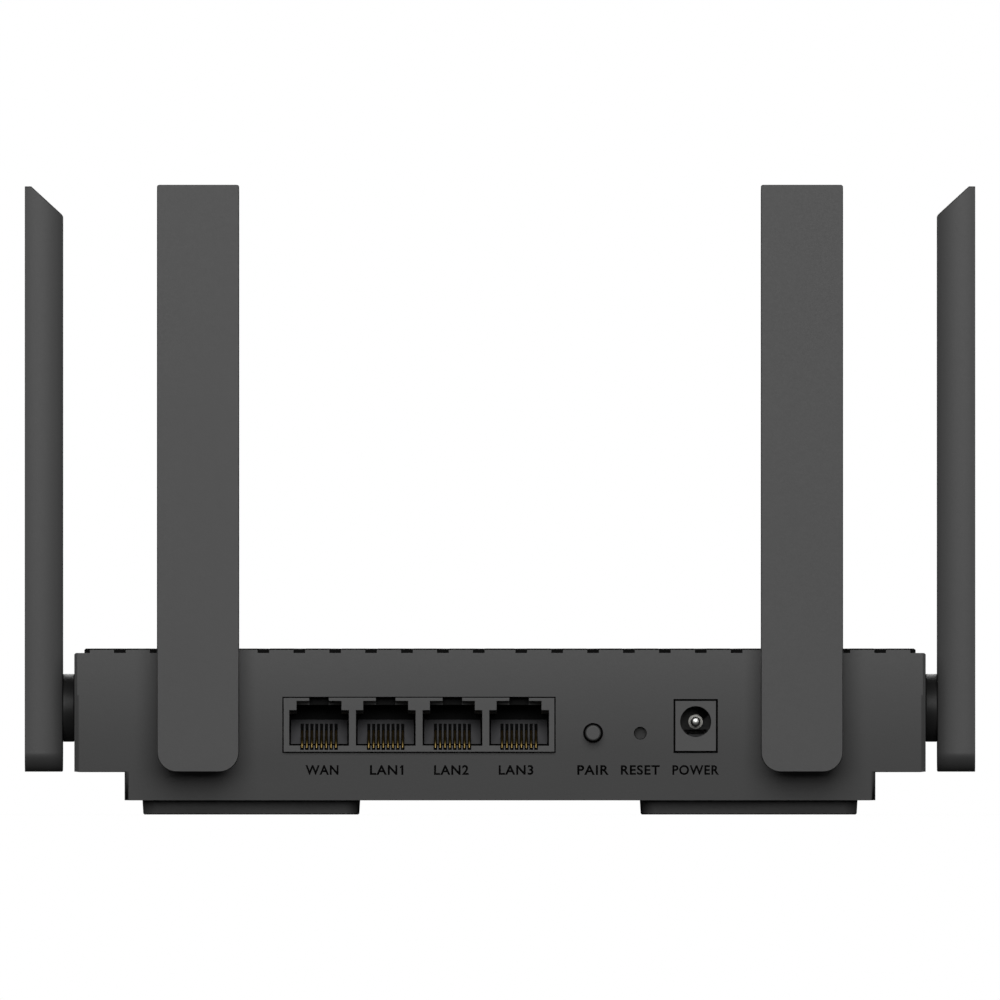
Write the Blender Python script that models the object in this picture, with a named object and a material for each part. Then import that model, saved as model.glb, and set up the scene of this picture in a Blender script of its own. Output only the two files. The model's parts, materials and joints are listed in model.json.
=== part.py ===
"""A wireless router with four fold-up antennas, as an assembly of separate pieces.

The frame: X runs to the right as seen from behind, where the sockets are, the rear panel faces
-Y and Z is up. The origin is the middle of the whole object's footprint, on the surface that it
stands on.

Every size is in millimetres. A fixed piece is drawn in the panel frame: x across, y forwards
from the rear panel's outer face, z up from the surface. An antenna is drawn about its pivot,
with its back towards +y and its outer face towards -y. A button is drawn about its own axis.
"""
import math

import bmesh
import bpy
from mathutils import Vector

MM = 0.001                    # one millimetre in Blender's metres
GAP = 0.3                     # the clearance between two pieces that touch on the real object

# The housing
PANEL_Y = -57.3               # where the rear panel stands in the world
BODY_HALF = 89.2              # half width of the upper section
BODY_DEPTH = 125.0
BASE_HALF = 78.67             # half width of the narrower base below it
BASE_DEPTH = 114.5
BASE_Z = 3.0                  # underside of the base
STEP_Z = 9.0                  # underside of the overhanging upper section
SHOULDER_Z = 33.85            # the ledge round the raised deck
DECK_Z = 34.8
DECK_INSET = 2.1              # from the body's side to the deck's side
WALL = 2.0
REAR_INNER = 3.2              # inner face of the rear panel, which is thicker than the walls
CEILING_Z = 32.0              # underside of the deck
EDGE_BREAK = 0.3

# The rear panel is upright at the top, curves inwards below that, and runs straight from the knee
LEAN_TOP, LEAN_KNEE = 34.0, 12.0
LEAN_SLOPE = math.tan(math.radians(5.5))

# The deck's slanting grooves: mirrored about the middle, so that they form an arrow
GROOVE_PITCH = 7.52
GROOVE_FIRST = 4.515          # from the middle to the first groove at the rear edge
GROOVE_WIDTH = 2.45
GROOVE_SLOPE = math.tan(math.radians(30))
GROOVE_FRONT = 100.0
GROOVE_SIDE = 84.0            # where a groove begins that doesn't reach the rear edge
SPINE_HALF = 0.75             # half the rib left along the middle
VENT_WIDTH = 1.2
VENT_START, VENT_END = 24.0, 60.0
VENTED_GROOVES = range(3, 9)

# The four network sockets, in one moulded block
PORT_PITCH = 13.97
PORT_FIRST_X = -37.92
PORT_NAMES = ("wan", "lan1", "lan2", "lan3")
BLOCK_X = (-45.4, 11.46)
BLOCK_Z = (13.1, 24.5)
BLOCK_DEPTH = 15.5
MOUTH_STEP = 2.0              # behind this depth the mouth's ceilings drop by MOUTH_DROP
MOUTH_DROP = 0.75
CONTACT_PITCH = 1.016
CONTACTS = 8

# The power socket, the pairing button and the recessed reset plunger
JACK_X = 41.0
JACK_AXIS_Z = 19.47
PAIR_X, PAIR_Z = 19.5, 17.1
RESET_X, RESET_Z = 29.4, 17.05

# The board and what holds it
PCB_HALF = 62.0
PCB_Z = (11.2, 12.8)
PART_Z = PCB_Z[1] + GAP       # where the components on the board begin
CASE_SCREWS = ((-72.0, 32.0), (72.0, 32.0), (-72.0, 88.0), (72.0, 88.0))
BOARD_POSTS_Y = 84.0
BOARD_PINS_Y = 10.0
BOARD_POST_X = 54.0

# The antennas
REAR_ANTENNA_X = 63.2
SIDE_ANTENNA_Y = 20.0
PIVOT_Z = 22.4
PADDLE_TOP = 109.4            # above the pivot
PADDLE_BOTTOM = -13.4
PADDLE_BACK = -2.58           # the inner face, one knuckle length off the wall
PADDLE_FACE = -10.5           # the outer face
PADDLE_HALF = 8.62            # half width at its widest, just behind the outer face
PADDLE_TAPER = 0.85           # how far each narrow side curves in towards the back
PADDLE_EDGE = (0.48, 0.24)    # the outer face's rounded edge: its depth and its inset
PADDLE_SLANT = 6.0            # the top drops this far from the outer face to the back
PADDLE_FLAT_TOP = 1.36        # depth of the level strip behind the outer face
HOLLOW_HALF = 6.7
KNUCKLE_RADIUS = 7.13
SPIGOT_RADIUS = 4.0

# name: (sRGB colour, roughness, metallic)
FINISHES = {
    "charcoal_abs": ("#434344", 0.55, 0.0),
    "antenna_abs": ("#4C4C4D", 0.5, 0.0),
    "button_abs": ("#39393A", 0.5, 0.0),
    "foot_rubber": ("#232324", 0.85, 0.0),
    "zinc_plated_steel": ("#B4B7BA", 0.35, 1.0),
    "green_circuit_board": ("#1E5638", 0.45, 0.0),
    "black_nylon": ("#1C1C1D", 0.5, 0.0),
    "socket_nylon": ("#47474A", 0.5, 0.0),
    "chip_epoxy": ("#1A1B1C", 0.6, 0.0),
    "aluminium": ("#C3C5C7", 0.35, 1.0),
    "tinned_steel": ("#C9C9C6", 0.3, 1.0),
    "thermal_silicone": ("#8FA3B5", 0.8, 0.0),
    "clear_acrylic": ("#E8ECEF", 0.1, 0.0),
    "coax_jacket": ("#2B2B2C", 0.45, 0.0),
    "ferrite": ("#3A3B3D", 0.7, 0.0),
}


def finish(name):
    """The named material, made the first time it is asked for."""
    material = bpy.data.materials.get(name)
    if material:
        return material
    colour, roughness, metallic = FINISHES[name]
    material = bpy.data.materials.new(name)
    material.use_nodes = True
    shader = material.node_tree.nodes["Principled BSDF"]
    channels = [int(colour[i:i + 2], 16) / 255 for i in (1, 3, 5)]
    linear = [c / 12.92 if c <= 0.04045 else ((c + 0.055) / 1.055) ** 2.4 for c in channels]
    shader.inputs["Base Color"].default_value = (*linear, 1.0)
    shader.inputs["Roughness"].default_value = roughness
    shader.inputs["Metallic"].default_value = metallic
    material.diffuse_color = (*linear, 1.0)
    return material


# ---- outlines: lists of (a, b) points ----

def arc(centre, radius, start, end, steps):
    """Points on an arc, with both ends, angles in degrees."""
    angles = [math.radians(start + (end - start) * i / steps) for i in range(steps + 1)]
    return [(centre[0] + radius * math.cos(t), centre[1] + radius * math.sin(t)) for t in angles]


def rounded_rectangle(a, b, radii, steps=4):
    """Corners in turn: low a low b, high a low b, high a high b, low a high b."""
    (a0, a1), (b0, b1) = a, b
    if isinstance(radii, (int, float)):
        radii = (radii,) * 4
    r0, r1, r2, r3 = radii
    return (arc((a0 + r0, b0 + r0), r0, 180, 270, steps)
            + arc((a1 - r1, b0 + r1), r1, 270, 360, steps)
            + arc((a1 - r2, b1 - r2), r2, 0, 90, steps)
            + arc((a0 + r3, b1 - r3), r3, 90, 180, steps))


# ---- closed solids: (points, faces) in millimetres ----

def along(axis, a, b, t):
    """The point at (a, b) in the plane across the axis, t along it."""
    return {"X": (t, a, b), "Y": (a, t, b), "Z": (a, b, t)}[axis]


def loft(rings):
    """A solid skinned over rings of points, each with the same number of points."""
    count = len(rings[0])
    points = [p for ring in rings for p in ring]
    faces = [tuple(range(count)), tuple(len(points) - count + i for i in range(count))]
    for r in range(len(rings) - 1):
        for i in range(count):
            j = (i + 1) % count
            faces.append((r * count + i, r * count + j,
                          (r + 1) * count + j, (r + 1) * count + i))
    return points, faces


def prism(outline, axis, start, end):
    return loft([[along(axis, a, b, t) for a, b in outline] for t in (start, end)])


def box(x, y, z):
    return prism([(x[0], y[0]), (x[1], y[0]), (x[1], y[1]), (x[0], y[1])], "Z", *z)


def turned(profile, axis, centre=(0.0, 0.0), sides=24):
    """A solid of revolution from (radius, place along the axis) points, end to end."""
    points, rings, faces = [], [], []
    for radius, t in profile:
        ring = list(range(len(points), len(points) + (sides if radius else 1)))
        for i in range(len(ring)):
            angle = 2 * math.pi * (i + 0.5) / sides
            points.append(along(axis, centre[0] + radius * math.cos(angle),
                                centre[1] + radius * math.sin(angle), t))
        rings.append(ring)
    for low, high in zip(rings, rings[1:]):
        for i in range(sides):
            j = (i + 1) % sides
            corners = [low[i % len(low)], low[j % len(low)],
                       high[j % len(high)], high[i % len(high)]]
            faces.append(tuple(dict.fromkeys(corners)))
    faces += [tuple(ring) for ring in (rings[0], rings[-1]) if len(ring) > 1]
    return points, faces


def rod(radius, axis, start, end, centre=(0.0, 0.0), sides=24):
    return turned([(radius, start), (radius, end)], axis, centre, sides)


def smooth_route(points, steps=3):
    """A Catmull-Rom curve through the points."""
    knots = [Vector(p) for p in points]
    knots = [2 * knots[0] - knots[1]] + knots + [2 * knots[-1] - knots[-2]]
    route = []
    for a, b, c, d in zip(knots, knots[1:], knots[2:], knots[3:]):
        for i in range(steps):
            t = i / steps
            route.append(0.5 * (2 * b + (c - a) * t + (2 * a - 5 * b + 4 * c - d) * t ** 2
                                + (3 * b - a - 3 * c + d) * t ** 3))
    return route + [knots[-2]]


def wire(route, radius, sides=8):
    """A round wire along the route, with flat ends."""
    rings = []
    side = (route[1] - route[0]).orthogonal().normalized()
    for i, place in enumerate(route):
        heading = (route[min(i + 1, len(route) - 1)] - route[max(i - 1, 0)]).normalized()
        side = (side - heading * side.dot(heading)).normalized()
        other = heading.cross(side)
        angles = [2 * math.pi * k / sides for k in range(sides)]
        rings.append([tuple(place + radius * (side * math.cos(t) + other * math.sin(t)))
                      for t in angles])
    return loft(rings)


# ---- objects ----

def mesh_object(name, solids, parent):
    """One object holding the solids, as a child of an empty."""
    bm = bmesh.new()
    for points, faces in solids:
        verts = [bm.verts.new(Vector(p) * MM) for p in points]
        for face in faces:
            bm.faces.new([verts[i] for i in face])
    bmesh.ops.recalc_face_normals(bm, faces=bm.faces)
    mesh = bpy.data.meshes.new(name)
    bm.to_mesh(mesh)
    bm.free()
    obj = bpy.data.objects.new(name, mesh)
    obj.parent = parent
    bpy.context.collection.objects.link(obj)
    return obj


def piece(name, solid, look, parent, *steps):
    """A named piece. Each step is "join" or "cut" with the solids to add or take away."""
    obj = mesh_object(name, [solid], parent)
    obj.data.materials.append(finish(look))
    for number, (action, solids) in enumerate(steps, 1):
        helper = mesh_object(f"{name}.{action}{number}", solids, parent)
        helper.hide_render = True
        helper.display_type = "WIRE"
        modifier = obj.modifiers.new(f"{action}{number}", "BOOLEAN")
        modifier.operation = "UNION" if action == "join" else "DIFFERENCE"
        modifier.object = helper
        modifier.use_self = True
    obj.data.shade_smooth()
    obj.data.set_sharp_from_angle(angle=math.radians(35))
    return obj


def frame_empty(name, place, turn=0.0):
    """An empty at a place in millimetres, turned about Z by a number of degrees."""
    empty = bpy.data.objects.new(name, None)
    empty.location = Vector(place) * MM
    empty.rotation_euler = (0.0, 0.0, math.radians(turn))
    bpy.context.collection.objects.link(empty)
    return empty


# ---- the housing ----

def port_centres():
    return [PORT_FIRST_X + PORT_PITCH * i for i in range(len(PORT_NAMES))]


def groove(number, side, width, start, end, z):
    """A slanting slot of the deck's pattern, from one depth to another."""
    at_rear = GROOVE_FIRST + GROOVE_PITCH * number
    corners = []
    for depth, edge in ((start, -1), (start, 1), (end, 1), (end, -1)):
        x = at_rear - GROOVE_SLOPE * depth + edge * width / 2
        corners.append((side * x, depth))
    return prism(corners, "Z", *z)


def deck_pattern():
    """The grooves, and the vents through the floors of some of them."""
    grooves, vents = [], []
    number = 0
    while True:
        at_rear = GROOVE_FIRST + GROOVE_PITCH * number
        inside = GROOVE_WIDTH / 2 + SPINE_HALF
        end = min(GROOVE_FRONT, (at_rear - inside) / GROOVE_SLOPE)
        reaches_rear = at_rear < BODY_HALF
        start = -1.0 if reaches_rear else (at_rear - GROOVE_SIDE) / GROOVE_SLOPE
        if start > GROOVE_FRONT - 2 * GROOVE_PITCH:
            return grooves, vents
        for side in (-1, 1):
            grooves.append(groove(number, side, GROOVE_WIDTH, start, end,
                                  (SHOULDER_Z, DECK_Z + 1)))
            if number in VENTED_GROOVES:
                vents.append(groove(number, side, VENT_WIDTH, VENT_START,
                                    min(VENT_END, end - 4), (CEILING_Z - 1, SHOULDER_Z + 0.5)))
        number += 1


def panel_lean(z):
    """How far the rear panel's outer face lies inside the upright at a height."""
    if z >= LEAN_TOP:
        return 0.0
    curved = LEAN_TOP - max(z, LEAN_KNEE)
    straight = max(0.0, LEAN_KNEE - z)
    return LEAN_SLOPE * (curved ** 2 / (2 * (LEAN_TOP - LEAN_KNEE)) + straight)


def tab_corner(side):
    """What is shaved off to round the upright edge of the panel below the step."""
    radius = 0.9
    rings = []
    for z in (BASE_Z - 0.5, STEP_Z):
        outline = [(BASE_HALF + 0.5, -0.5)]
        outline += arc((BASE_HALF - radius, radius), radius, 0, -90, 4)
        outline += [(BASE_HALF - radius, -0.5)]
        rings.append([(side * x, y + panel_lean(z), z) for x, y in outline])
    return loft(rings)


def make_top_cover(body):
    """The upper shell: raised deck, side walls and the whole rear panel, in one moulding."""
    deck_half = BODY_HALF - DECK_INSET
    deck_front = BODY_DEPTH - DECK_INSET
    levels = (BASE_Z, LEAN_KNEE, 16.0, 20.0, 25.0, 30.0, SHOULDER_Z - EDGE_BREAK)
    # half width, rear, front, height, corner radii at the rear and at the front
    sections = [(BODY_HALF, panel_lean(z), BODY_DEPTH, z, 1.0, 4.0) for z in levels]
    sections += [
        (BODY_HALF - EDGE_BREAK, 0.02, BODY_DEPTH - EDGE_BREAK, SHOULDER_Z, 0.9, 3.7),
        (deck_half, 0.1, deck_front, SHOULDER_Z, 0.5, 2.5),
        (deck_half, 0.1, deck_front, DECK_Z - EDGE_BREAK, 0.5, 2.5),
        (deck_half - EDGE_BREAK, 0.2, deck_front - EDGE_BREAK, DECK_Z, 0.5, 2.2),
    ]
    rings = []
    for half, rear, front, height, rear_radius, front_radius in sections:
        outline = rounded_rectangle((-half, half), (rear, front),
                                    (rear_radius, rear_radius, front_radius, front_radius))
        rings.append([(x, y, height) for x, y in outline])
    under_step = [box((-100.0, 100.0), (REAR_INNER, BODY_DEPTH + 5), (0.0, STEP_Z))]
    beside_tab = []
    for side in (-1, 1):
        across = sorted((side * BASE_HALF, side * 100.0))
        beside_tab.append(box(across, (-5.0, REAR_INNER + 1), (0.0, STEP_Z)))
    inside = prism(rounded_rectangle((WALL - BODY_HALF, BODY_HALF - WALL),
                                     (REAR_INNER, BODY_DEPTH - WALL), (0.3, 0.3, 2.0, 2.0)),
                   "Z", STEP_Z - 1, CEILING_Z)
    bosses = [rod(3.5, "Z", 11.3, CEILING_Z + 0.5, place, 12) for place in CASE_SCREWS]
    pilots = [rod(1.6, "Z", 10.0, 20.0, place, 8) for place in CASE_SCREWS]
    through = (-1.0, REAR_INNER + 1.0)
    openings = [
        box((-45.6, 11.66), through, (12.93, 24.68)),
        box((JACK_X - 4.65, JACK_X + 4.65), through, (12.9, 24.2)),
        rod(2.1, "Y", *through, (PAIR_X, PAIR_Z)),
        rod(1.35, "Y", *through, (RESET_X, RESET_Z)),
        box((-18.0, 18.0), (BODY_DEPTH - WALL - 1, BODY_DEPTH + 1), (14.8, 17.2)),
    ]
    for side in (-1, 1):
        pivot = (SIDE_ANTENNA_Y, PIVOT_Z)
        bosses.append(rod(7.0, "X", side * (BODY_HALF - WALL + 0.5),
                          side * (BODY_HALF - REAR_INNER), pivot, 20))
        openings.append(rod(SPIGOT_RADIUS + GAP, "Y", *through,
                            (side * REAR_ANTENNA_X, PIVOT_Z)))
        openings.append(rod(SPIGOT_RADIUS + GAP, "X", side * (BODY_HALF - REAR_INNER - 1),
                            side * (BODY_HALF + 1), pivot))
    grooves, vents = deck_pattern()
    piece("top_cover", loft(rings), "charcoal_abs", body,
          ("cut", under_step), ("cut", beside_tab), ("cut", [tab_corner(-1), tab_corner(1)]),
          ("cut", [inside]), ("join", bosses), ("cut", pilots + openings),
          ("cut", grooves), ("cut", vents))


def make_bottom_tray(body):
    """The lower shell: a narrower base with a flange that closes the cover from below."""
    base = prism(rounded_rectangle((-BASE_HALF, BASE_HALF), (REAR_INNER + GAP, BASE_DEPTH),
                                   (0.3, 0.3, 4.0, 4.0)), "Z", BASE_Z, STEP_Z + 1)
    flange_half = BODY_HALF - WALL - GAP
    flange = prism(rounded_rectangle((-flange_half, flange_half),
                                     (REAR_INNER + GAP, BODY_DEPTH - WALL - GAP),
                                     (0.3, 0.3, 2.0, 2.0)), "Z", STEP_Z, 10.8)
    hollow_half = BASE_HALF - WALL
    hollow = prism(rounded_rectangle((-hollow_half, hollow_half),
                                     (REAR_INNER + GAP + WALL, BASE_DEPTH - WALL),
                                     (0.5, 0.5, 2.0, 2.0)), "Z", BASE_Z + WALL, 12.0)
    post_z = (BASE_Z + WALL - 0.5, PCB_Z[0] - GAP)
    posts = [rod(5.0, "Z", BASE_Z + WALL - 0.5, 11.0, place, 12) for place in CASE_SCREWS]
    holes = [rod(1.7, "Z", 7.0, 12.0, place, 8) for place in CASE_SCREWS]
    seats = [rod(3.2, "Z", 2.0, 7.3, place, 20) for place in CASE_SCREWS]
    for side in (-1, 1):
        x = side * BOARD_POST_X
        posts.append(rod(3.0, "Z", *post_z, (x, BOARD_POSTS_Y), 12))
        holes.append(rod(1.4, "Z", 6.0, 12.0, (x, BOARD_POSTS_Y), 8))
        posts.append(turned([(3.0, post_z[0]), (3.0, post_z[1]), (1.2, post_z[1]), (1.2, 12.4)],
                            "Z", (x, BOARD_PINS_Y), 12))
    slots = [box((x - 1.0, x + 1.0), (y, y + 22.0), (2.0, 6.0))
             for y in (30.0, 66.0) for x in range(-20, 21, 5)]
    pockets = [prism(rounded_rectangle(x, y, 3.3, 3), "Z", 2.0, BASE_Z + 0.8)
               for x, y in foot_places(GAP)]
    piece("bottom_tray", base, "charcoal_abs", body,
          ("join", [flange]), ("cut", [hollow]), ("join", posts), ("cut", holes),
          ("cut", seats + slots + pockets))


# ---- feet and screws ----

def foot_places(margin=0.0):
    """The feet's extents across and forwards: rear left, rear right, front left, front right."""
    places = []
    for y0, y1 in ((5.0, 19.0), (97.0, 111.0)):
        for x0, x1 in ((-75.0, -29.6), (29.6, 75.0)):
            places.append(((x0 - margin, x1 + margin), (y0 - margin, y1 + margin)))
    return places


def make_feet(body):
    names = ("foot_rear_left", "foot_rear_right", "foot_front_left", "foot_front_right")
    for name, ((x0, x1), (y0, y1)) in zip(names, foot_places()):
        rings = []
        for inset, height in ((0.45, 0.0), (0.2, 0.25), (0.0, BASE_Z + 0.5)):
            outline = rounded_rectangle((x0 + inset, x1 - inset), (y0 + inset, y1 - inset),
                                        3.0 - inset, 3)
            rings.append([(x, y, height) for x, y in outline])
        piece(name, loft(rings), "foot_rubber", body)


def cross_recess(place, z):
    """A screwdriver cross, as two crossed bars."""
    x, y = place
    return [box((x - 1.4, x + 1.4), (y - 0.35, y + 0.35), z),
            box((x - 0.35, x + 0.35), (y - 1.4, y + 1.4), z)]


def make_screws(body):
    for number, place in enumerate(CASE_SCREWS, 1):
        profile = [(2.7, 5.2), (2.7, 7.0), (1.25, 7.0), (1.25, 18.2), (0.6, 19.0)]
        piece(f"case_screw_{number}", turned(profile, "Z", place, 12), "zinc_plated_steel",
              body, ("cut", cross_recess(place, (4.0, 6.2))))
    for name, side in (("left", -1), ("right", 1)):
        place = (side * BOARD_POST_X, BOARD_POSTS_Y)
        top = PART_Z + 1.6
        profile = [(0.5, 6.5), (1.0, 7.2), (1.0, PART_Z), (2.6, PART_Z), (2.6, top)]
        piece(f"board_screw_{name}", turned(profile, "Z", place, 12), "zinc_plated_steel",
              body, ("cut", cross_recess(place, (top - 0.8, top + 1))))


# ---- the board and its components ----

def make_board(body):
    outline = rounded_rectangle((-PCB_HALF, PCB_HALF), (REAR_INNER + 2 * GAP, 114.0),
                                1.5, 3)
    holes = []
    for side in (-1, 1):
        holes.append(rod(1.4, "Z", 10.0, 14.0, (side * BOARD_POST_X, BOARD_POSTS_Y), 10))
        holes.append(rod(1.6, "Z", 10.0, 14.0, (side * BOARD_POST_X, BOARD_PINS_Y), 10))
    piece("main_board", prism(outline, "Z", *PCB_Z), "green_circuit_board", body,
          ("cut", holes))


def contact_places(centre):
    return [centre + CONTACT_PITCH * (i - (CONTACTS - 1) / 2) for i in range(CONTACTS)]


def mouth_outline(x, drop):
    """A socket's mouth, with the narrower space for the plug's latch above it."""
    corners = [(6.2, 14.5), (6.2, 21.83 - drop), (4.65, 21.83 - drop), (4.65, 23.75 - drop)]
    return [(x + a, z) for a, z in corners] + [(x - a, z) for a, z in reversed(corners)]


def make_port_block(body):
    """The four sockets' housing: stepped mouths with a latch notch and a slotted lower lip."""
    mouths, steps, slots = [], [], []
    for x in port_centres():
        mouths.append(prism(mouth_outline(x, MOUTH_DROP), "Y", MOUTH_STEP - 0.5, 13.5))
        steps.append(prism(mouth_outline(x, 0.0), "Y", -1.0, MOUTH_STEP))
        slots.append(box((x - 2.0, x + 2.0), (-1.0, 3.0), (22.5, 25.5)))
        for slot in contact_places(x):
            slots.append(box((slot - 0.34, slot + 0.34), (-1.0, 2.4), (13.57, 14.8)))
    block = box(BLOCK_X, (0.0, BLOCK_DEPTH), BLOCK_Z)
    piece("port_housing", block, "black_nylon", body,
          ("cut", mouths), ("cut", steps), ("cut", slots))


def make_contact_inserts(body):
    """The wedge in each socket that carries its eight spring contacts in slots."""
    wedge = [(1.9, 14.8), (11.0, 19.9), (13.2, 19.9), (13.2, 14.8)]
    slot_outline = [(1.0, 13.6), (9.5, 15.3), (9.5, 21.0), (1.0, 21.0)]
    for name, x in zip(PORT_NAMES, port_centres()):
        slots = [prism(slot_outline, "X", place - 0.33, place + 0.33)
                 for place in contact_places(x)]
        piece(f"contact_insert_{name}", prism(wedge, "X", x - 5.9, x + 5.9), "socket_nylon",
              body, ("cut", slots))


def make_power_jack(body):
    """A barrel socket: housing, centre pin and sprung side contact."""
    axis = (JACK_X, JACK_AXIS_Z)
    housing = box((JACK_X - 4.3, JACK_X + 4.3), (0.0, 14.0), (13.27, 23.86))
    piece("power_jack_housing", housing, "black_nylon", body,
          ("cut", [rod(3.18, "Y", -1.0, 9.5, axis, 32)]),
          ("cut", [rod(0.9, "Y", 9.0, 15.0, axis, 12),
                   box((JACK_X - 2.4, JACK_X + 2.4), (2.5, 12.5), (16.1, 17.83))]))
    pin = [(0.0, 1.3), (0.6, 1.45), (0.9, 1.8), (1.0, 2.3), (1.0, 8.7), (1.52, 8.7),
           (1.52, 9.2), (0.6, 9.2), (0.6, 14.8), (0.0, 14.9)]
    piece("power_jack_pin", turned(pin, "Y", axis, 16), "tinned_steel", body)
    leaf = [(3.2, 16.4), (8.0, 17.1), (12.2, 16.4), (12.2, 16.8), (8.0, 17.5), (3.2, 16.8)]
    piece("power_jack_spring", prism(leaf, "X", JACK_X - 1.8, JACK_X + 1.8), "tinned_steel",
          body)


def make_buttons(body):
    """The pairing button with its switch, and the reset switch with its long plunger."""
    pair = frame_empty("pair_button_axis", (PAIR_X, PANEL_Y, PAIR_Z))
    cap = [(1.25, -1.3), (1.55, -1.2), (1.65, -0.9), (1.65, 3.5), (2.9, 3.5), (2.9, 4.3),
           (1.2, 4.3), (1.2, 4.8)]
    piece("pair_button", turned(cap, "Y", sides=20), "button_abs", pair)
    piece("pair_switch_stem", rod(1.0, "Y", 5.1, 7.2, sides=12), "button_abs", pair)
    reset = frame_empty("reset_plunger_axis", (RESET_X, PANEL_Y, RESET_Z))
    plunger = [(0.8, 1.3), (1.0, 1.5), (1.0, 7.2)]
    piece("reset_plunger", turned(plunger, "Y", sides=16), "button_abs", reset)
    for name, x, z in (("pair", PAIR_X, PAIR_Z), ("reset", RESET_X, RESET_Z)):
        piece(f"{name}_switch_body", box((x - 3.0, x + 3.0), (6.4, 10.4), (PART_Z, 20.3)),
              "black_nylon", body, ("cut", [rod(1.4, "Y", 5.0, 8.2, (x, z), 12)]))


def make_components(body):
    """What the board carries: chips, heatsink, radio can, transformers, capacitor, lights."""
    chips = {   # name: extents across and forwards, height, material
        "main_processor": ((-8, 8), (50, 66), 1.3, "chip_epoxy"),
        "memory_chip": ((-36, -26), (50, 62), 1.0, "chip_epoxy"),
        "flash_chip": ((-36, -28), (68, 76), 1.6, "chip_epoxy"),
        "line_transformer_wan": ((-44, -30), (19, 27), 4.9, "chip_epoxy"),
        "line_transformer_lan": ((-24, 6), (19, 27), 4.9, "chip_epoxy"),
    }
    for name, (x, y, height, look) in chips.items():
        piece(name, prism(rounded_rectangle(x, y, 0.4, 2), "Z", PART_Z, PART_Z + height), look,
              body)
    piece("power_inductor", prism(rounded_rectangle((34, 42), (19, 27), 2.0, 3), "Z", PART_Z,
                                  PART_Z + 4.0), "ferrite", body)
    can = [(4.0, PART_Z), (4.0, PART_Z + 0.8), (3.7, PART_Z + 1.3), (4.0, PART_Z + 1.8),
           (4.0, 23.6), (3.6, 24.0)]
    piece("bulk_capacitor", turned(can, "Z", (52.0, 22.0), 16), "aluminium", body)

    pad_z = PART_Z + 1.3 + GAP
    piece("thermal_pad", box((-8.5, 8.5), (49.5, 66.5), (pad_z, pad_z + 0.5)),
          "thermal_silicone", body)
    base_z = pad_z + 0.5 + GAP
    comb = [(-20.0, base_z), (20.0, base_z)]
    fins, fin = 9, 1.4
    pitch = (40.0 - fin) / (fins - 1)
    for i in reversed(range(fins)):
        x = -20.0 + pitch * i
        comb += [(x + fin, base_z + 2), (x + fin, 25.0), (x, 25.0), (x, base_z + 2)]
    comb = comb[:2] + comb[3:-1]
    piece("heatsink", prism(comb, "Y", 38.0, 78.0), "aluminium", body)

    piece("radio_shield", box((25, 47), (44, 74), (PART_Z, PART_Z + 3.0)), "tinned_steel",
          body, ("cut", [box((25.5, 46.5), (44.5, 73.5), (PART_Z - 1, PART_Z + 2.5))]))
    lamps = [box((x - 1.2, x + 1.2), (107.9, 110.1), (PART_Z + 0.5, PART_Z + 1.5))
             for x in range(-14, 15, 7)]
    piece("status_lamps", box((-17, 17), (107.5, 110.5), (PART_Z, PART_Z + 0.7)),
          "clear_acrylic", body, ("join", lamps))
    prongs = [box((x - 1.2, x + 1.2), (108.0, 118.0), (15.1, 16.5)) for x in range(-14, 15, 7)]
    piece("light_guide", box((-17.7, 17.7), (117.0, 124.9), (15.1, 16.9)), "clear_acrylic",
          body, ("join", prongs))


# ---- the antennas ----

def paddle_ring(depth):
    """The paddle's outline at a depth behind its outer face."""
    thickness = PADDLE_BACK - PADDLE_FACE
    edge_depth, edge_inset = PADDLE_EDGE
    inset = 0.0
    taper = PADDLE_TAPER * (max(0.0, depth - edge_depth) / (thickness - edge_depth)) ** 2
    if depth < edge_depth:
        inset = edge_inset * (1 - math.sqrt(1 - (1 - depth / edge_depth) ** 2))
    half = PADDLE_HALF - inset - taper
    slant = PADDLE_SLANT * max(0.0, depth - PADDLE_FLAT_TOP) / (thickness - PADDLE_FLAT_TOP)
    outline = rounded_rectangle((-half, half), (PADDLE_BOTTOM + inset, PADDLE_TOP - slant - inset),
                                (4.0, 4.0, 0.4, 0.4))
    return [(x, PADDLE_FACE + depth, z) for x, z in outline]


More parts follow.
